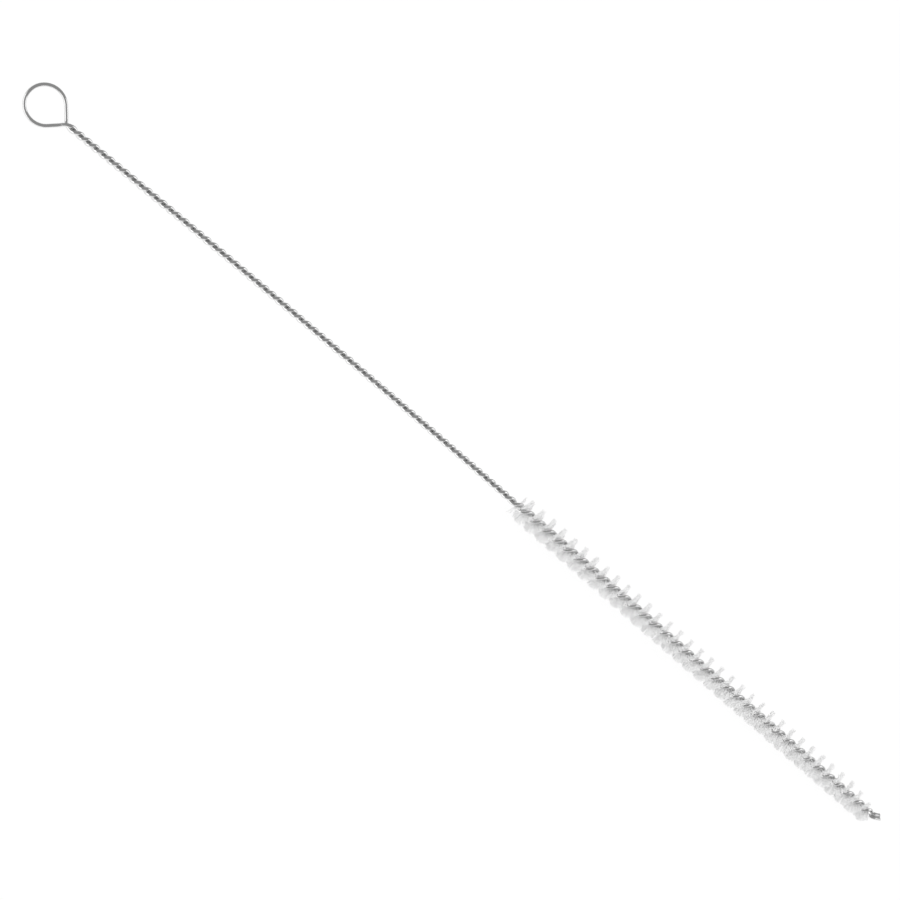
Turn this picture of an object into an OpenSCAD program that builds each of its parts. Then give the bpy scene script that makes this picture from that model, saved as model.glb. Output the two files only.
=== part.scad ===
// Twisted-in-wire bottle brush: one steel wire bent into a finger loop, its two legs twisted together,
// with straight nylon filaments clamped crosswise between the legs. It lies on its bristles and on one
// side of its loop.

/* [Wire] */
// Diameter of the steel wire
wire_d = 1; // [0.8:0.05:1.5]
// Length of one full turn of the twist along the bare stem
stem_lay = 4.8; // [4.4:0.1:7]
// Length of one full turn of the twist along the bristles
brush_lay = 8; // [7:0.1:12]
// Bare twisted stem, from the neck of the loop to the first bristles
stem_length = 153; // [80:1:260]
// Wire left bare past the last bristles, where its two legs close up
tip_length = 4; // [2:0.1:12]
// How far the cut end bends sideways off the line of the bristles
tip_bow = 1.2; // [0:0.1:3]
// How far the loop end bows sideways off the line of the bristles
stem_bow = 2.5; // [0.4:0.1:8]

/* [Loop] */
// Outside width of the finger loop
loop_width = 11.1; // [8:0.1:20]
// Outside length of the loop, from its far end to its neck
loop_length = 12.2; // [9.5:0.1:26]
// Degrees by which the loop leans to one side at its neck
loop_lean = 3.2; // [0:0.1:8]

/* [Bristles] */
// Turns of the bristle spiral
bristle_turns = 17; // [8:1:24]
// Diameter across the bristle tips
brush_d = 7.6; // [6:0.1:14]
// Diameter of one nylon filament
filament_d = 0.27; // [0.2:0.01:0.4]
// Filaments that lie side by side between the two legs of the wire
filaments_abreast = 3; // [1:1:4]
// Clear length of stem between one row of filaments and the next
row_gap = 0.1; // [0.02:0.01:0.4]

/* [Hidden] */
// Room between the wire and a filament, and between one filament and the next
clearance = 0.01;
// Part of the loop's length that its ring takes up
ring_share = 0.925;
// Part of its reach that the very last filament loses on the side where the brush is trimmed to its tip
trim_share = 0.52;

// Sides of the wire, and its sections along half the loop's ring, each bend at the neck and the tip
wire_sides = 6;
ring_steps = 12;
bend_steps = 4;
tip_steps = 8;
filament_sides = 32;
// Degrees of twist from one section to the next
twist_step = 38;

// A polygon with the area of the round wire, with a flat turned to the axis of the twist
section_r = wire_d / 2 * sqrt(PI / (wire_sides / 2 * sin(360 / wire_sides)));

// The two legs touch along the stem, and grip the filaments between them along the brush
bundle_w = filaments_abreast * filament_d + (filaments_abreast - 1) * clearance;
stem_leg_r = section_r + clearance;
brush_leg_r = section_r + bundle_w / 2 + clearance;

// Stations along the brush, measured from the neck of the loop towards the tip
brush_end = stem_length + bristle_turns * brush_lay;
wire_end = brush_end + tip_length;
blend_length = brush_lay / 2;
blend_start = stem_length - blend_length;
blend_end = stem_length + blend_length;
bend_end = stem_lay / 8;

// Ring of the loop, and the straight arms that run from it to the neck
ring_half_w = (loop_width - wire_d) / 2;
ring_half_l = (ring_share * loop_length - wire_d) / 2;
ring_x = ring_share * loop_length / 2 - loop_length;
ring_stretch = ring_half_w / ring_half_l;
neck_y = stem_leg_r / ring_stretch;
arm_angle = asin(ring_half_l / norm([ring_x, neck_y])) - atan(neck_y / -ring_x);
arm_run = [-cos(arm_angle), ring_stretch * sin(arm_angle), 0];
arm_direction = arm_run / norm(arm_run);
bend_start = [0, stem_leg_r, 0] + wire_d * arm_direction;

// Rows of filaments along the brush
rows_per_turn = floor(brush_lay / (filament_d + row_gap));
row_pitch = brush_lay / rows_per_turn;
row_count = bristle_turns * rows_per_turn;

// The brush lies along its bristles, rolled over until the side of its loop comes down
bow_r = pow(stem_length, 2) / (2 * stem_bow);
brush_reach = norm([brush_d / 2, bundle_w / 2]);
loop_y = bowed([ring_x, 0, 0]).y;
ring_side = norm([ring_half_w * cos(loop_lean), ring_half_l * sin(loop_lean)]);
loop_side = ring_side - loop_y;
rest_roll = asin(min(1, (brush_reach - wire_d / 2) / loop_side));
side_low = -loop_side * cos(rest_roll) - wire_d / 2;
side_high = max(brush_reach, (ring_side + loop_y) * cos(rest_roll) + wire_d / 2);
rest_place = [(loop_length - wire_end) / 2, -(side_low + side_high) / 2, brush_reach];

function turn_name(turn) = str("bristles_turn_", turn < 10 ? "0" : "", turn);

// Degrees of twist between the neck and a station. The lay lengthens evenly where the bristles begin. The
// twist ends past the last bristles, with the two legs side by side in the loop's plane.
function twist(s) = min(wound(s), 180 * ceil(wound(brush_end) / 180));

function wound(s) =
    let (
        stem_rate = 360 / stem_lay,
        brush_rate = 360 / brush_lay,
        within = max(0, min(s, blend_end) - blend_start),
        slowing = (stem_rate - brush_rate) * pow(within, 2) / (4 * blend_length)
    )
    min(s, blend_end) * stem_rate - slowing + max(0, s - blend_end) * brush_rate;

// Share of a gentle step, from none at the start of a length to all at its end
function step_share(along, length) =
    let (share = max(0, min(1, along / length)))
    share * share * (3 - 2 * share);

// Distance of a leg's centre from the axis of the twist. The legs open for the bristles and close past them.
function leg_r(s) =
    let (open_share = step_share(s - blend_start, blend_length) - step_share(s - brush_end, tip_length))
    stem_leg_r + (brush_leg_r - stem_leg_r) * open_share;

// Centre of the first leg at a station. The twist is left-handed.
function leg_point(s) = [s, leg_r(s) * cos(twist(s)), -leg_r(s) * sin(twist(s))];

// The way the first leg runs at a station of the stem
function leg_direction(s) =
    let (
        rate = 2 * PI / stem_lay * leg_r(s),
        along = [1, -rate * sin(twist(s)), -rate * cos(twist(s))]
    )
    along / norm(along);

// Stations from one place to the next, no further apart than one step of the twist
function stations(from, to) =
    let (count = ceil((twist(to) - twist(from)) / twist_step))
    [for (i = [1:count]) from + (to - from) * i / count];

function between(a, b, share) = a + (b - a) * share;

// Point on a smooth bend that leaves a and reaches d along the handles b and c
function bend_point(a, b, c, d, share) =
    let (ab = between(a, b, share), bc = between(b, c, share), cd = between(c, d, share))
    between(between(ab, bc, share), between(bc, cd, share), share);

// The half turn about the axis that carries the first leg onto the second
function turned(p) = [p.x, -p.y, -p.z];

// The loop leans to one side at its neck and the stem bends sideways along an arc. The brush is straight.
function bowed(p) =
    let (
        lean = p.x < 0 ? loop_lean : 0,
        x = p.x * cos(lean) + p.y * sin(lean),
        y = p.y * cos(lean) - p.x * sin(lean),
        turn = max(0, stem_length - x) / bow_r * 180 / PI
    )
    [max(stem_length, x) - (bow_r + y) * sin(turn), (bow_r + y) * cos(turn) - bow_r, p.z];

// Centres of the wire's sections from the far end of the loop, round its ring and along the first leg
ring_path = [
    for (i = [1:ring_steps])
        let (a = between(180, 90 - arm_angle, i / ring_steps))
        [ring_x + ring_half_l * cos(a), ring_half_w * sin(a), 0]
];
neck_path = [
    for (i = [0:bend_steps])
        bend_point(
            bend_start,
            bend_start - wire_d / 2 * arm_direction,
            leg_point(bend_end) - wire_d / 2 * leg_direction(bend_end),
            leg_point(bend_end),
            i / bend_steps
        )
];
leg_stations = concat(
    stations(bend_end, blend_start),
    stations(blend_start, blend_end),
    stations(blend_end, brush_end),
    [for (i = [1:tip_steps]) brush_end + tip_length * i / tip_steps]
);
half_path = concat(ring_path, neck_path, [for (s = leg_stations) leg_point(s)]);
wire_path = concat(
    [for (i = [len(half_path) - 1:-1:0]) half_path[i]],
    [[ring_x - ring_half_l, 0, 0]],
    [for (p = half_path) turned(p)]
);

// The bare tip bends sideways from the last bristles to its cut end
function tip_bent(p) = p + [0, tip_bow * pow(max(0, p.x - brush_end) / tip_length, 2), 0];

// Way out of the twist, or out of the ring, at a point of the wire's path
function outward(p) = p.x < bend_start.x ? [(p.x - ring_x) * pow(ring_stretch, 2), p.y, 0] : [0, p.y, p.z];

// Corners of the wire's section at one point of its path. The two ends are cut square to the brush.
function section(i) =
    let (
        last = len(wire_path) - 1,
        p = wire_path[i],
        ahead = tip_bent(wire_path[min(i + 1, last)]) - tip_bent(wire_path[max(i - 1, 0)]),
        along = ahead / norm(ahead),
        out = outward(p) - (outward(p) * along) * along,
        normal = out / norm(out),
        side = cross(along, normal)
    )
    [
        for (k = [0:wire_sides - 1])
            let (
                a = (k + 0.5) * 360 / wire_sides,
                corner = tip_bent(p) + section_r * (cos(a) * normal + sin(a) * side),
                cut = corner + along * (wire_end - corner.x) / along.x
            )
            bowed(i == 0 || i == last ? cut : corner)
    ];

// Lays the brush down as it comes to rest, centred over the origin
module at_rest() {
    translate(rest_place)
        rotate([rest_roll, 0, 0])
            children();
}

// The wall that faces the other leg is split along its other diagonal, which keeps it hollow and clear
module stem_wire() {
    last = len(wire_path) - 1;
    inner_wall = wire_sides / 2 - 1;
    corners = [for (i = [0:last]) each section(i)];
    walls = [
        for (i = [0:last - 1], k = [0:wire_sides - 1])
            let (
                a = i * wire_sides + k,
                b = i * wire_sides + (k + 1) % wire_sides,
                c = b + wire_sides,
                d = a + wire_sides
            )
            each k == inner_wall ? [[a, d, b], [b, d, c]] : [[a, d, c], [a, c, b]]
    ];
    near_cut = [for (k = [0:wire_sides - 1]) k];
    far_cut = [for (k = [wire_sides - 1:-1:0]) last * wire_sides + k];
    color("silver")
        at_rest()
            polyhedron(corners, concat([near_cut], walls, [far_cut]), convexity = 10);
}

function row_station(row) = stem_length + (row + 0.5) * row_pitch;

// How far one end of a filament reaches. The last turn is trimmed on a slant, more on the loop's upper side.
function filament_reach(row, end) =
    let (
        trimmed = max(0, (row + 1 - row_count) / rows_per_turn + 1),
        upper_share = (1 + end * sin(twist(row_station(row)))) / 2
    )
    brush_d / 2 * (1 - trim_share * trimmed * upper_share);

// One row of filaments, side by side across the axis and square to the two legs that grip them
module filament_row(row) {
    near_reach = filament_reach(row, -1);
    length = near_reach + filament_reach(row, 1);
    translate([row_station(row), 0, 0])
        rotate([-twist(row_station(row)), 0, 0])
            for (i = [0:filaments_abreast - 1])
                translate([0, (i - (filaments_abreast - 1) / 2) * (filament_d + clearance), -near_reach])
                    cylinder(d = filament_d, h = length, $fn = filament_sides);
}

module bristles(turn) {
    color("whitesmoke")
        at_rest()
            for (row = [(turn - 1) * rows_per_turn:turn * rows_per_turn - 1])
                filament_row(row);
}

stem_wire();
for (turn = [1:bristle_turns])
    bristles(turn);
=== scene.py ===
import math

import bmesh
import bpy
from mathutils import Euler, Matrix, Vector


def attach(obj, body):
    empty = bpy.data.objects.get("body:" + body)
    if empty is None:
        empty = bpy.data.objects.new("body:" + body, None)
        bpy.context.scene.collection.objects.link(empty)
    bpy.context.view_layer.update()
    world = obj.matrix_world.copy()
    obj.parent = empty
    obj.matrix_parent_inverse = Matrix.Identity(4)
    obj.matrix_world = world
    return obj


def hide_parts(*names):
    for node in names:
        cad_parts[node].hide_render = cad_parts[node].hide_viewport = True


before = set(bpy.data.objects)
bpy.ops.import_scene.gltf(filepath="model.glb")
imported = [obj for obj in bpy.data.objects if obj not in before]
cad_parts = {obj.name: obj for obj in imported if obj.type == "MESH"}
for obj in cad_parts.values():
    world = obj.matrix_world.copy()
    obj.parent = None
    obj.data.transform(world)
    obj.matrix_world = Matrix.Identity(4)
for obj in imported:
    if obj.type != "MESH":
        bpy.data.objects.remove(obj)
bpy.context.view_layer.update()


# The wire: one length of bright drawn steel wire, 1 mm thick. Its middle is bent round a pin into the finger
# loop, and its two legs are twisted together left-handed, which grips the bristles. Past the last of them the
# legs lie side by side, bent aside and snipped off on a slant.
mm = 0.001

# Sizes in millimetres. The wire shows a little thicker than its nominal size.
nominal_d = 1.0
wire_d = 1.04
stem_lay = 4.8
brush_lay = 8.0
stem_length = 153.0
tip_length = 4.0
stem_bow = 2.5
bristle_turns = 17
loop_width = 11.1
loop_length = 12.2
loop_lean = 3.2
ring_share = 0.925
stem_leg_r = 0.525
brush_leg_r = 0.96
brush_d = 7.6
bundle_w = 0.83

brush_end = stem_length + bristle_turns * brush_lay
wire_end = brush_end + tip_length
close_start = brush_end + 0.1
close_length = 1.7
neck_start = 0.55
neck_end = 0.75 * stem_lay
blend_length = brush_lay / 2
blend_start = stem_length - blend_length
blend_end = stem_length + blend_length
open_start = stem_length - 1.5
open_length = 4.5
stem_rate = 2 * math.pi / stem_lay
brush_rate = 2 * math.pi / brush_lay
neck_lead = math.pi / 2 - neck_start * stem_rate


# The twist at a station, in radians. Stations are measured from the neck of the loop towards the tip. The
# legs cross early at the neck, and the lay lengthens where the bristles begin.
def wound(s):
    within = max(0.0, min(s, blend_end) - blend_start)
    slowing = (stem_rate - brush_rate) * within**2 / (4 * blend_length)
    first = max(0.0, 1 - (s - neck_start) / (neck_end - neck_start))
    regular = min(s, blend_end) * stem_rate - slowing + max(0.0, s - blend_end) * brush_rate
    return regular + neck_lead * first**2


# The twist ends past the last bristles, with the two legs side by side
def twist(s):
    return min(wound(s), math.pi * math.ceil(wound(brush_end) / math.pi))


# A gentle step from none to all
def eased(share):
    share = max(0.0, min(1.0, share))
    return share * share * (3 - 2 * share)


# Distance of a leg's centre from the axis. The legs open for the bristles and close past them.
def leg_r(s):
    opened = eased((s - open_start) / open_length) - eased((s - close_start) / close_length)
    return stem_leg_r + (brush_leg_r - stem_leg_r) * opened


def leg_point(s):
    return Vector((s, leg_r(s) * math.cos(twist(s)), -leg_r(s) * math.sin(twist(s))))


# The loop leans to one side at its neck, the stem bends sideways along an arc, and the tip bends aside
bow_r = stem_length**2 / (2 * stem_bow)
tip_start = brush_end + 1.4
tip_r = 1.7
tip_turn = math.radians(52)
tip_way = math.radians(50)


def bowed(p):
    lean = math.radians(loop_lean) if p.x < 0 else 0.0
    x = p.x * math.cos(lean) + p.y * math.sin(lean)
    y = p.y * math.cos(lean) - p.x * math.sin(lean)
    if x > tip_start:
        turn = min((x - tip_start) / tip_r, tip_turn)
        run = x - tip_start - turn * tip_r
        over = tip_r - y * math.cos(tip_way) - p.z * math.sin(tip_way)
        beside = p.z * math.cos(tip_way) - y * math.sin(tip_way)
        up = tip_r - over * math.cos(turn) + run * math.sin(turn)
        return Vector((
            tip_start + over * math.sin(turn) + run * math.cos(turn),
            up * math.cos(tip_way) - beside * math.sin(tip_way),
            up * math.sin(tip_way) + beside * math.cos(tip_way),
        ))
    turn = max(0.0, stem_length - x) / bow_r
    from_centre = bow_r + y
    return Vector((
        max(stem_length, x) - from_centre * math.sin(turn),
        from_centre * math.cos(turn) - bow_r,
        p.z,
    ))


# The brush lies on its bristles, rolled until the loop's side is down
ring_half_w = (loop_width - nominal_d) / 2
ring_half_l = (ring_share * loop_length - nominal_d) / 2
ring_x = ring_share * loop_length / 2 - loop_length
brush_reach = math.hypot(brush_d / 2, bundle_w / 2)
loop_y = bowed(Vector((ring_x, 0, 0))).y
rest_roll = math.asin((brush_reach - nominal_d / 2) / (ring_half_w - loop_y))
side_low = -(ring_half_w - loop_y) * math.cos(rest_roll) - nominal_d / 2
rest_place = Vector(((loop_length - wire_end) / 2, -(side_low + brush_reach) / 2, brush_reach))


# Points along the wire's centre, from the end of one leg round the loop to the end of the other. The legs run
# past the tip by a spare length, which is snipped off.
ring_steps = 40
arm_steps = 8
bend_steps = 12
stem_turn_steps = 26
brush_turn_steps = 34
bend_run = 1.4
arm_handle = 0.7
leg_handle = 0.6
way_step = 0.01
spare_length = 1.5


def wire_path():
    ring_stretch = ring_half_w / ring_half_l
    neck_y = stem_leg_r / ring_stretch
    arm_angle = math.asin(ring_half_l / math.hypot(ring_x, neck_y)) - math.atan(neck_y / -ring_x)
    arm = Vector((-math.cos(arm_angle), ring_stretch * math.sin(arm_angle), 0)).normalized()
    bend_a = Vector((0, stem_leg_r, 0)) + bend_run * arm
    bend_d = leg_point(neck_start)
    leg_way = (leg_point(neck_start + way_step) - bend_d).normalized()
    bend_b = bend_a - arm_handle * arm
    bend_c = bend_d - leg_handle * leg_way
    half = []
    for i in range(1, ring_steps + 1):
        a = math.pi + (math.pi / 2 - arm_angle - math.pi) * i / ring_steps
        half.append(Vector((ring_x + ring_half_l * math.cos(a), ring_half_w * math.sin(a), 0)))
    arm_start = half[-1].copy()
    for i in range(1, arm_steps):
        half.append(arm_start.lerp(bend_a, i / arm_steps))
    for i in range(bend_steps + 1):
        t = i / bend_steps
        half.append(
            (1 - t) ** 3 * bend_a
            + 3 * t * (1 - t) ** 2 * bend_b
            + 3 * t * t * (1 - t) * bend_c
            + t**3 * bend_d
        )
    s = neck_start
    while s < wire_end + spare_length:
        s += stem_lay / stem_turn_steps if s < blend_start else brush_lay / brush_turn_steps
        half.append(leg_point(s))
    other = [Vector((p.x, -p.y, -p.z)) for p in half]
    return half[::-1] + [Vector((ring_x - ring_half_l, 0, 0))] + other


def socket(sockets, name):
    return next(s for s in sockets if s.name == name and s.enabled)


def add_node(tree, kind, **settings):
    node = tree.nodes.new(kind)
    for key, value in settings.items():
        setattr(node, key, value)
    return node


# Links a socket to a target, or sets the target to a plain value
def join(tree, source, target):
    if hasattr(source, "is_output"):
        tree.links.new(source, target)
    else:
        target.default_value = source


def calc(tree, operation, *values):
    node = add_node(tree, "ShaderNodeMath", operation=operation)
    for value, target in zip(values, node.inputs):
        join(tree, value, target)
    return node.outputs[0]


# A grey that runs from dark to light with a factor
def grey_ramp(tree, factor, tones, target):
    ramp = add_node(tree, "ShaderNodeValToRGB")
    for element, tone in zip(ramp.color_ramp.elements, tones):
        element.color = (tone, tone, tone, 1)
    join(tree, factor, ramp.inputs["Fac"])
    join(tree, ramp.outputs["Color"], target)


# A roughness that runs from smooth to dull with a factor
def rough_span(tree, factor, span, target):
    mapped = add_node(tree, "ShaderNodeMapRange")
    join(tree, span[0], mapped.inputs["To Min"])
    join(tree, span[1], mapped.inputs["To Max"])
    join(tree, factor, mapped.inputs["Value"])
    join(tree, mapped.outputs[0], target)


# Runs a node tree on a mesh, with its named inputs, and keeps the result as a plain mesh
def run_nodes(name, mesh, tree, values):
    piece = bpy.data.objects.new(name, mesh)
    bpy.context.scene.collection.objects.link(piece)
    modifier = piece.modifiers.new(name, "NODES")
    modifier.node_group = tree
    for item in tree.interface.items_tree:
        if item.name in values:
            modifier[item.identifier] = values[item.name]
    graph = bpy.context.evaluated_depsgraph_get()
    made = bpy.data.meshes.new_from_object(
        piece.evaluated_get(graph), preserve_all_data_layers=True, depsgraph=graph
    )
    piece.modifiers.remove(modifier)
    # The bristles come out with an empty slot before their finish
    if made.materials[0] is None:
        made.materials.pop(index=0)
    piece.data = made
    made.name = name
    return piece


# Bright steel with fine lines from the drawing die along the wire
steel_tones = (0.72, 0.84)
steel_roughness = (0.1, 0.2)
drawn_stretch = (3.0, 3.0, 90.0)
drawn_scale = 2.4
drawn_detail = 3.0
drawn_depth = 0.02
drawn_strength = 0.15

steel = bpy.data.materials.new("drawn_steel")
steel.use_nodes = True
steel_tree = steel.node_tree
steel_shader = steel_tree.nodes["Principled BSDF"]
steel_shader.inputs["Metallic"].default_value = 1.0
steel_grain = add_node(steel_tree, "ShaderNodeAttribute", attribute_name="wire_grain")
steel_stretch = add_node(steel_tree, "ShaderNodeVectorMath", operation="MULTIPLY")
join(steel_tree, steel_grain.outputs["Vector"], steel_stretch.inputs[0])
join(steel_tree, drawn_stretch, steel_stretch.inputs[1])
steel_lines = add_node(steel_tree, "ShaderNodeTexNoise")
join(steel_tree, drawn_scale, steel_lines.inputs["Scale"])
join(steel_tree, drawn_detail, steel_lines.inputs["Detail"])
join(steel_tree, steel_stretch.outputs[0], steel_lines.inputs["Vector"])
rough_span(steel_tree, steel_lines.outputs["Fac"], steel_roughness, steel_shader.inputs["Roughness"])
grey_ramp(steel_tree, steel_lines.outputs["Fac"], steel_tones, steel_shader.inputs["Base Color"])
steel_bump = add_node(steel_tree, "ShaderNodeBump")
join(steel_tree, drawn_strength, steel_bump.inputs["Strength"])
join(steel_tree, drawn_depth * mm, steel_bump.inputs["Distance"])
join(steel_tree, steel_lines.outputs["Fac"], steel_bump.inputs["Height"])
join(steel_tree, steel_bump.outputs[0], steel_shader.inputs["Normal"])

# The path is swept with a round outline. Each point keeps its place round the wire and along it, for the
# grain of the steel.
wire_tree = bpy.data.node_groups.new("twisted_wire", "GeometryNodeTree")
for name, kind in (
    ("Path", "NodeSocketGeometry"),
    ("Wire Diameter", "NodeSocketFloat"),
    ("Wire Sides", "NodeSocketInt"),
    ("Rest Place", "NodeSocketVector"),
    ("Rest Roll", "NodeSocketFloat"),
    ("Finish", "NodeSocketMaterial"),
):
    wire_tree.interface.new_socket(name, in_out="INPUT", socket_type=kind)
wire_tree.interface.new_socket("Wire", in_out="OUTPUT", socket_type="NodeSocketGeometry")
wire_in = add_node(wire_tree, "NodeGroupInput").outputs
wire_out = add_node(wire_tree, "NodeGroupOutput").inputs
to_curve = add_node(wire_tree, "GeometryNodeMeshToCurve")
join(wire_tree, wire_in["Path"], to_curve.inputs[0])
along = add_node(wire_tree, "GeometryNodeCaptureAttribute", domain="POINT")
along.capture_items.new("FLOAT", "Along")
join(wire_tree, to_curve.outputs[0], along.inputs[0])
join(wire_tree, add_node(wire_tree, "GeometryNodeSplineParameter").outputs["Length"], along.inputs[1])
outline = add_node(wire_tree, "GeometryNodeCurvePrimitiveCircle", mode="RADIUS")
join(wire_tree, wire_in["Wire Sides"], outline.inputs["Resolution"])
join(wire_tree, calc(wire_tree, "MULTIPLY", wire_in["Wire Diameter"], 0.5), socket(outline.inputs, "Radius"))
around = add_node(wire_tree, "GeometryNodeCaptureAttribute", domain="POINT")
around.capture_items.new("VECTOR", "Around")
join(wire_tree, outline.outputs[0], around.inputs[0])
join(wire_tree, add_node(wire_tree, "GeometryNodeInputPosition").outputs[0], around.inputs[1])
sweep = add_node(wire_tree, "GeometryNodeCurveToMesh")
join(wire_tree, along.outputs[0], sweep.inputs["Curve"])
join(wire_tree, around.outputs[0], sweep.inputs["Profile Curve"])
join(wire_tree, True, sweep.inputs["Fill Caps"])
grain_split = add_node(wire_tree, "ShaderNodeSeparateXYZ")
join(wire_tree, around.outputs[1], grain_split.inputs[0])
grain_join = add_node(wire_tree, "ShaderNodeCombineXYZ")
for axis in (0, 1):
    share = calc(wire_tree, "DIVIDE", grain_split.outputs[axis], wire_in["Wire Diameter"])
    join(wire_tree, share, grain_join.inputs[axis])
join(wire_tree, along.outputs[1], grain_join.inputs[2])
keep_grain = add_node(wire_tree, "GeometryNodeStoreNamedAttribute", data_type="FLOAT_VECTOR", domain="POINT")
join(wire_tree, sweep.outputs[0], keep_grain.inputs["Geometry"])
join(wire_tree, "wire_grain", keep_grain.inputs["Name"])
join(wire_tree, grain_join.outputs[0], socket(keep_grain.inputs, "Value"))
smooth = add_node(wire_tree, "GeometryNodeSetShadeSmooth")
join(wire_tree, keep_grain.outputs[0], smooth.inputs["Geometry"])
lay_down = add_node(wire_tree, "GeometryNodeTransform")
join(wire_tree, smooth.outputs[0], lay_down.inputs["Geometry"])
join(wire_tree, wire_in["Rest Place"], lay_down.inputs["Translation"])
roll_axis = add_node(wire_tree, "ShaderNodeCombineXYZ")
join(wire_tree, wire_in["Rest Roll"], roll_axis.inputs[0])
join(wire_tree, roll_axis.outputs[0], lay_down.inputs["Rotation"])
whole = add_node(wire_tree, "GeometryNodeRealizeInstances")
join(wire_tree, lay_down.outputs[0], whole.inputs[0])
finish = add_node(wire_tree, "GeometryNodeSetMaterial")
join(wire_tree, whole.outputs[0], finish.inputs["Geometry"])
join(wire_tree, wire_in["Finish"], finish.inputs["Material"])
join(wire_tree, finish.outputs[0], wire_out["Wire"])

wire_sides = 18
path_mesh = bpy.data.meshes.new("wire_path")
path = [bowed(p) * mm for p in wire_path()]
path_mesh.from_pydata(path, [(i, i + 1) for i in range(len(path) - 1)], [])
wire = run_nodes(
    "stem_wire_smooth",
    path_mesh,
    wire_tree,
    {
        "Wire Diameter": wire_d * mm,
        "Wire Sides": wire_sides,
        "Rest Place": rest_place * mm,
        "Rest Roll": rest_roll,
        "Finish": steel,
    },
)

# The two legs are snipped together, just past the nominal end, on a plane that faces the picture's right
snip_past = 0.2
snip_way = Vector((0.7302, 0.6578, 0.1848))
trim = bmesh.new()
trim.from_mesh(wire.data)
lying = Matrix.Translation(rest_place * mm) @ Matrix.Rotation(rest_roll, 4, "X")
bmesh.ops.bisect_plane(
    trim,
    geom=trim.verts[:] + trim.edges[:] + trim.faces[:],
    plane_co=lying @ (bowed(Vector((wire_end + snip_past, 0, 0))) * mm),
    plane_no=lying.to_3x3() @ snip_way,
    clear_outer=True,
)
open_edges = [e for e in trim.edges if e.is_boundary]
for face in bmesh.ops.holes_fill(trim, edges=open_edges, sides=0)["faces"]:
    face.smooth = False
bmesh.ops.recalc_face_normals(trim, faces=trim.faces[:])
trim.to_mesh(wire.data)
trim.free()
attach(wire, "root")
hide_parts("stem_wire")


# The bristles: straight white nylon filaments laid crosswise between the two legs before they are twisted.
# The twist turns them into a two-start spiral and clamps them, and the ends are trimmed to a cylinder. The
# first few are sparse and lie askew, and the last turn is trimmed down to the tip.
filament_d = 0.17
filaments = 3600
filament_sides = 5
filament_parts = 3
trim_share = 0.52
shortest_share = 0.93
past_end = 0.5
sway = 0.5
thin_start = 2.2
thin_least = -0.3
thin_most = 0.9
first_skew = -1.6
place_jitter = 0.6
angle_jitter = 0.06
fill_seed = 11
nylon_tones = (0.93, 0.98)
nylon_roughness = (0.34, 0.54)
nylon_grain = 2600.0

# White nylon, a little lighter or darker from one filament to the next
nylon = bpy.data.materials.new("nylon_filament")
nylon.use_nodes = True
nylon_tree = nylon.node_tree
nylon_shader = nylon_tree.nodes["Principled BSDF"]
nylon_mix = add_node(nylon_tree, "ShaderNodeAttribute", attribute_name="filament_tone")
grey_ramp(nylon_tree, nylon_mix.outputs["Fac"], nylon_tones, nylon_shader.inputs["Base Color"])
nylon_place = add_node(nylon_tree, "ShaderNodeTexCoord")
nylon_skin = add_node(nylon_tree, "ShaderNodeTexNoise")
join(nylon_tree, nylon_grain, nylon_skin.inputs["Scale"])
join(nylon_tree, nylon_place.outputs["Object"], nylon_skin.inputs["Vector"])
rough_span(nylon_tree, nylon_skin.outputs["Fac"], nylon_roughness, nylon_shader.inputs["Roughness"])

bristle_tree = bpy.data.node_groups.new("bristle_spiral", "GeometryNodeTree")
for name, kind in (
    ("Filaments", "NodeSocketInt"),
    ("Filament Diameter", "NodeSocketFloat"),
    ("First Station", "NodeSocketFloat"),
    ("Last Station", "NodeSocketFloat"),
    ("Lay", "NodeSocketFloat"),
    ("Blend End", "NodeSocketFloat"),
    ("Blend Twist", "NodeSocketFloat"),
    ("Blend Curve", "NodeSocketFloat"),
    ("Reach", "NodeSocketFloat"),
    ("Trim Share", "NodeSocketFloat"),
    ("Spread", "NodeSocketFloat"),
    ("Sway", "NodeSocketFloat"),
    ("Thin Start", "NodeSocketFloat"),
    ("Skew", "NodeSocketFloat"),
    ("Seed", "NodeSocketInt"),
    ("Rest Place", "NodeSocketVector"),
    ("Rest Roll", "NodeSocketFloat"),
    ("Finish", "NodeSocketMaterial"),
):
    bristle_tree.interface.new_socket(name, in_out="INPUT", socket_type=kind)
bristle_tree.interface.new_socket("Bristles", in_out="OUTPUT", socket_type="NodeSocketGeometry")
brush_in = add_node(bristle_tree, "NodeGroupInput").outputs
brush_out = add_node(bristle_tree, "NodeGroupOutput").inputs


def reckon(operation, *values):
    return calc(bristle_tree, operation, *values)


# A random value for each filament, from a step of its own on the seed
def chance(low, high, step):
    node = add_node(bristle_tree, "FunctionNodeRandomValue", data_type="FLOAT")
    join(bristle_tree, low, socket(node.inputs, "Min"))
    join(bristle_tree, high, socket(node.inputs, "Max"))
    join(bristle_tree, reckon("ADD", brush_in["Seed"], step), socket(node.inputs, "Seed"))
    return socket(node.outputs, "Value")


def keep(geometry, name, value):
    node = add_node(bristle_tree, "GeometryNodeStoreNamedAttribute", data_type="FLOAT", domain="POINT")
    join(bristle_tree, geometry, node.inputs["Geometry"])
    join(bristle_tree, name, node.inputs["Name"])
    join(bristle_tree, value, socket(node.inputs, "Value"))
    return node.outputs[0]


def kept(name):
    node = add_node(bristle_tree, "GeometryNodeInputNamedAttribute", data_type="FLOAT")
    join(bristle_tree, name, node.inputs["Name"])
    return socket(node.outputs, "Attribute")


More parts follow.
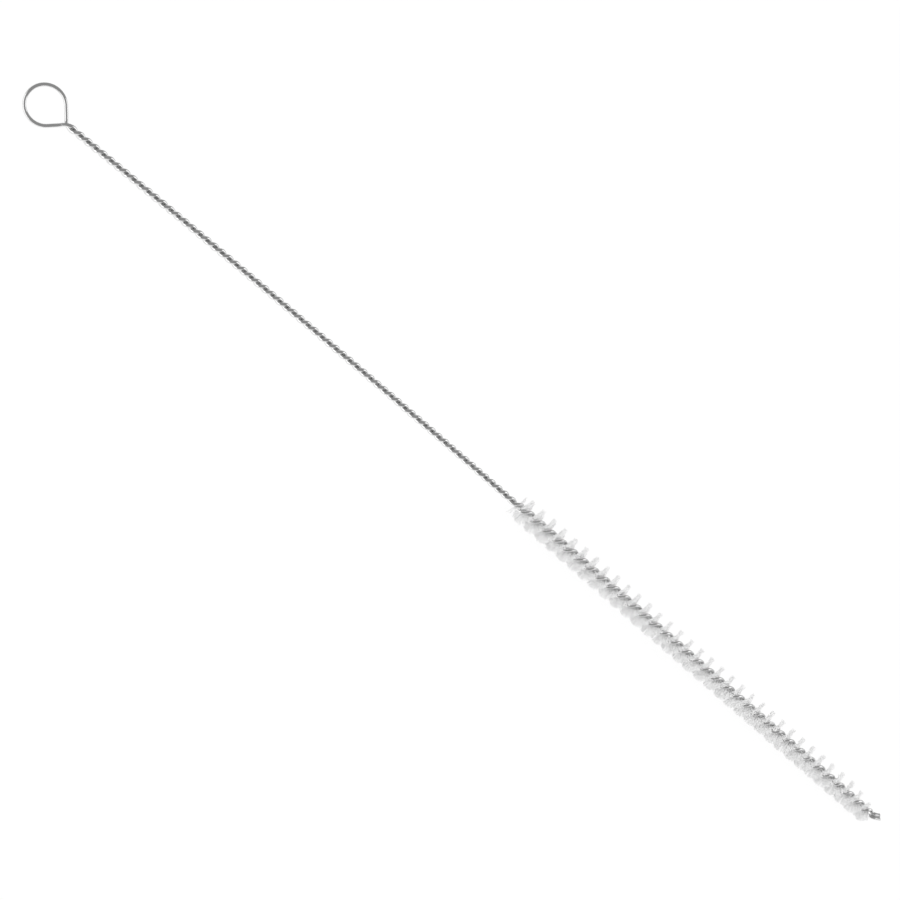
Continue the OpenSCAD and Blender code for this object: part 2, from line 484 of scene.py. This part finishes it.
# One root for each filament, at its station along the brush
roots = add_node(bristle_tree, "GeometryNodeMeshLine", mode="OFFSET", count_mode="TOTAL")
join(bristle_tree, brush_in["Filaments"], socket(roots.inputs, "Count"))
join(bristle_tree, (0.0, 0.0, 0.0), socket(roots.inputs, "Offset"))
filled = reckon("SUBTRACT", brush_in["Last Station"], brush_in["First Station"])
step = reckon("DIVIDE", filled, brush_in["Filaments"])
index = add_node(bristle_tree, "GeometryNodeInputIndex").outputs[0]
place = reckon("ADD", index, reckon("ADD", 0.5, chance(-place_jitter, place_jitter, 1)))
station = reckon("ADD", brush_in["First Station"], reckon("MULTIPLY", step, place))
points = keep(roots.outputs[0], "station", station)

# The first filaments are sparse
in_brush = reckon("SUBTRACT", kept("station"), brush_in["First Station"])
fill = reckon("DIVIDE", in_brush, brush_in["Thin Start"])
fill = reckon("MAXIMUM", reckon("MINIMUM", fill, 1.0), 0.0)
left_out = add_node(bristle_tree, "GeometryNodeDeleteGeometry", domain="POINT")
join(bristle_tree, points, left_out.inputs["Geometry"])
sparse = reckon("GREATER_THAN", chance(thin_least, thin_most, 9), fill)
join(bristle_tree, sparse, left_out.inputs["Selection"])
points = left_out.outputs[0]

# Each filament turns with the twist of the legs at its station
early = reckon("MAXIMUM", reckon("SUBTRACT", brush_in["Blend End"], kept("station")), 0.0)
rate = reckon("DIVIDE", 2 * math.pi, brush_in["Lay"])
past_blend = reckon("SUBTRACT", kept("station"), brush_in["Blend End"])
angle = reckon("ADD", brush_in["Blend Twist"], reckon("MULTIPLY", rate, past_blend))
slowing = reckon("MULTIPLY", brush_in["Blend Curve"], reckon("MULTIPLY", early, early))
angle = reckon("SUBTRACT", angle, slowing)
points = keep(points, "angle", reckon("ADD", angle, chance(-angle_jitter, angle_jitter, 8)))

# The last turn is trimmed on a slant, more on the loop's upper side
last_turn = reckon("SUBTRACT", brush_in["Last Station"], brush_in["Lay"])
late = reckon("SUBTRACT", kept("station"), last_turn)
late = reckon("DIVIDE", reckon("MAXIMUM", late, 0.0), brush_in["Lay"])
for name, end, seed_step in (("reach_up", 1.0, 2), ("reach_down", -1.0, 3)):
    height = reckon("MULTIPLY", end, reckon("SINE", kept("angle")))
    upper = reckon("MULTIPLY", reckon("ADD", 1.0, height), 0.5)
    trimmed = reckon("MULTIPLY", brush_in["Trim Share"], late)
    left = reckon("SUBTRACT", 1.0, reckon("MULTIPLY", trimmed, upper))
    full = reckon("MULTIPLY", brush_in["Reach"], left)
    points = keep(points, name, reckon("MULTIPLY", full, chance(shortest_share, 1.0, seed_step)))

# Its place across the grip, the bend of its ends and its tone
gripped = reckon("MULTIPLY", brush_in["Spread"], fill)
points = keep(points, "across", reckon("MULTIPLY", gripped, chance(-0.5, 0.5, 4)))
points = keep(points, "lean", reckon("MULTIPLY", brush_in["Sway"], chance(-1.0, 1.0, 5)))
points = keep(points, "swing", reckon("MULTIPLY", brush_in["Sway"], chance(-1.0, 1.0, 6)))
points = keep(points, "filament_tone", chance(0.0, 1.0, 7))

# A blank from -1 to 1 is laid in at each root, stretched to its two ends, bent, and turned into the spiral
blank = add_node(bristle_tree, "GeometryNodeMeshCylinder", fill_type="NGON")
join(bristle_tree, filament_sides, blank.inputs["Vertices"])
join(bristle_tree, filament_parts, blank.inputs["Side Segments"])
join(bristle_tree, reckon("MULTIPLY", brush_in["Filament Diameter"], 0.5), blank.inputs["Radius"])
join(bristle_tree, 2.0, blank.inputs["Depth"])
lay_in = add_node(bristle_tree, "GeometryNodeInstanceOnPoints")
join(bristle_tree, points, lay_in.inputs["Points"])
join(bristle_tree, blank.outputs["Mesh"], lay_in.inputs["Instance"])
loose = add_node(bristle_tree, "GeometryNodeRealizeInstances")
join(bristle_tree, lay_in.outputs[0], loose.inputs[0])
here = add_node(bristle_tree, "ShaderNodeSeparateXYZ")
join(bristle_tree, add_node(bristle_tree, "GeometryNodeInputPosition").outputs[0], here.inputs[0])
end_share = here.outputs[2]
is_up = reckon("GREATER_THAN", end_share, 0.0)
reach_up = reckon("MULTIPLY", is_up, kept("reach_up"))
reach_down = reckon("MULTIPLY", reckon("SUBTRACT", 1.0, is_up), kept("reach_down"))
reach = reckon("ADD", reach_up, reach_down)
out = reckon("MULTIPLY", end_share, reach)
bend = reckon("MULTIPLY", end_share, end_share)
side = reckon("ADD", here.outputs[1], kept("across"))
side = reckon("ADD", side, reckon("MULTIPLY", kept("swing"), bend))
ahead = reckon("ADD", here.outputs[0], kept("station"))
ahead = reckon("ADD", ahead, reckon("MULTIPLY", kept("lean"), bend))
skew = reckon("MULTIPLY", brush_in["Skew"], reckon("SUBTRACT", 1.0, fill))
ahead = reckon("ADD", ahead, reckon("MULTIPLY", skew, end_share))
cosine = reckon("COSINE", kept("angle"))
sine = reckon("SINE", kept("angle"))
there = add_node(bristle_tree, "ShaderNodeCombineXYZ")
join(bristle_tree, ahead, there.inputs[0])
across = reckon("ADD", reckon("MULTIPLY", side, cosine), reckon("MULTIPLY", out, sine))
above = reckon("SUBTRACT", reckon("MULTIPLY", out, cosine), reckon("MULTIPLY", side, sine))
join(bristle_tree, across, there.inputs[1])
join(bristle_tree, above, there.inputs[2])
put = add_node(bristle_tree, "GeometryNodeSetPosition")
join(bristle_tree, loose.outputs[0], put.inputs["Geometry"])
join(bristle_tree, there.outputs[0], put.inputs["Position"])

# The whole brush is laid down as the wire is
brush_down = add_node(bristle_tree, "GeometryNodeTransform")
join(bristle_tree, put.outputs[0], brush_down.inputs["Geometry"])
join(bristle_tree, brush_in["Rest Place"], brush_down.inputs["Translation"])
brush_roll = add_node(bristle_tree, "ShaderNodeCombineXYZ")
join(bristle_tree, brush_in["Rest Roll"], brush_roll.inputs[0])
join(bristle_tree, brush_roll.outputs[0], brush_down.inputs["Rotation"])
brush_smooth = add_node(bristle_tree, "GeometryNodeSetShadeSmooth")
join(bristle_tree, brush_down.outputs[0], brush_smooth.inputs["Geometry"])
brush_whole = add_node(bristle_tree, "GeometryNodeRealizeInstances")
join(bristle_tree, brush_smooth.outputs[0], brush_whole.inputs[0])
brush_finish = add_node(bristle_tree, "GeometryNodeSetMaterial")
join(bristle_tree, brush_whole.outputs[0], brush_finish.inputs["Geometry"])
join(bristle_tree, brush_in["Finish"], brush_finish.inputs["Material"])
join(bristle_tree, brush_finish.outputs[0], brush_out["Bristles"])

bristles = run_nodes(
    "bristles",
    bpy.data.meshes.new("bristles"),
    bristle_tree,
    {
        "Filaments": filaments,
        "Filament Diameter": filament_d * mm,
        "First Station": stem_length * mm,
        "Last Station": (brush_end + past_end) * mm,
        "Lay": brush_lay * mm,
        "Blend End": blend_end * mm,
        "Blend Twist": twist(blend_end) % (2 * math.pi),
        "Blend Curve": (stem_rate - brush_rate) / (4 * blend_length) / mm**2,
        "Reach": brush_d / 2 * mm,
        "Trim Share": trim_share,
        "Spread": (bundle_w - filament_d) * mm,
        "Sway": sway * mm,
        "Thin Start": thin_start * mm,
        "Skew": first_skew * mm,
        "Seed": fill_seed,
        "Rest Place": rest_place * mm,
        "Rest Roll": rest_roll,
        "Finish": nylon,
    },
)
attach(bristles, "root")
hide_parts(*[f"bristles_turn_{turn:02d}" for turn in range(1, bristle_turns + 1)])


# The floor: a plain white sheet that the brush lies on. Seen directly or in the steel it is plain white,
# with a part of the soft shadow kept.
floor_half = 3.0
sheet_glow = 1.02
glow_share = 0.92

floor_mesh = bpy.data.meshes.new("floor")
floor_corners = [(x * floor_half, y * floor_half, 0) for x, y in ((-1, -1), (1, -1), (1, 1), (-1, 1))]
floor_mesh.from_pydata(floor_corners, [], [(0, 1, 2, 3)])
floor = bpy.data.objects.new("floor", floor_mesh)
bpy.context.scene.collection.objects.link(floor)
paper = bpy.data.materials.new("white_sheet")
paper.use_nodes = True
paper_tree = paper.node_tree
paper_shader = paper_tree.nodes["Principled BSDF"]
paper_shader.inputs["Base Color"].default_value = (0.9, 0.9, 0.9, 1)
paper_shader.inputs["Roughness"].default_value = 0.9
paper_glow = add_node(paper_tree, "ShaderNodeEmission")
paper_glow.inputs["Strength"].default_value = sheet_glow
paper_ray = add_node(paper_tree, "ShaderNodeLightPath")
seen = calc(paper_tree, "MAXIMUM", paper_ray.outputs["Is Camera Ray"], paper_ray.outputs["Is Glossy Ray"])
paper_mix = add_node(paper_tree, "ShaderNodeMixShader")
join(paper_tree, calc(paper_tree, "MULTIPLY", seen, glow_share), paper_mix.inputs["Fac"])
join(paper_tree, paper_shader.outputs[0], paper_mix.inputs[1])
join(paper_tree, paper_glow.outputs[0], paper_mix.inputs[2])
join(paper_tree, paper_mix.outputs[0], paper_tree.nodes["Material Output"].inputs["Surface"])
floor_mesh.materials.append(paper)


# The light: two soft boxes far out to the picture's left and right, which the wire mirrors as white streaks.
# The pale room between them stays dim in the steel.
picture_right = Vector((0.73, 0.505, 0.46))
room_light = 0.97
room_in_steel = 0.31
room_seen = 1.02


def soft_box(name, way, distance, wide, high, power):
    lamp = bpy.data.lights.new(name, "AREA")
    lamp.shape = "RECTANGLE"
    lamp.size = wide
    lamp.size_y = high
    lamp.energy = power
    holder = bpy.data.objects.new(name, lamp)
    way = Vector(way).normalized()
    up = way.cross(picture_right).normalized()
    holder.location = distance * way
    holder.rotation_euler = Matrix((up.cross(way), up, way)).transposed().to_euler()
    bpy.context.scene.collection.objects.link(holder)


soft_box("left_box", way=(-0.67, -0.71, 0.23), distance=0.8, wide=0.36, high=0.9, power=1.35)
soft_box("right_box", way=(0.7, 0.44, 0.55), distance=0.9, wide=0.7, high=0.8, power=1.9)
room = bpy.data.worlds.new("room")
room.use_nodes = True
room_tree = room.node_tree
room_air = room_tree.nodes["Background"]
room_air.inputs["Color"].default_value = (1, 1, 1, 1)
room_ray = add_node(room_tree, "ShaderNodeLightPath")
dim = calc(room_tree, "MULTIPLY", room_ray.outputs["Is Glossy Ray"], room_in_steel - room_light)
plain = calc(room_tree, "MULTIPLY", room_ray.outputs["Is Camera Ray"], room_seen - room_light)
strength = calc(room_tree, "ADD", calc(room_tree, "ADD", dim, plain), room_light)
join(room_tree, strength, room_air.inputs["Strength"])
bpy.context.scene.world = room
bpy.context.scene.view_settings.view_transform = "Standard"


# The camera: high on the loop's low side, leaning along the brush from the loop's end, at the angle of the
# photograph. Its place and turn are given from the brush as it lies.
view_place = Vector((-14.163, -0.93, 568.292))
view_turn = (-9.4238, -10.6473, 42.0156)

view = bpy.data.cameras.new("view")
view.sensor_width = 36.0
view.lens = 89.2
view.clip_start = 0.01
viewer = bpy.data.objects.new("view", view)
turned = Euler([math.radians(a) for a in view_turn]).to_matrix().to_4x4()
viewer.matrix_world = lying @ Matrix.Translation(view_place * mm) @ turned
bpy.context.scene.collection.objects.link(viewer)
bpy.context.scene.camera = viewer
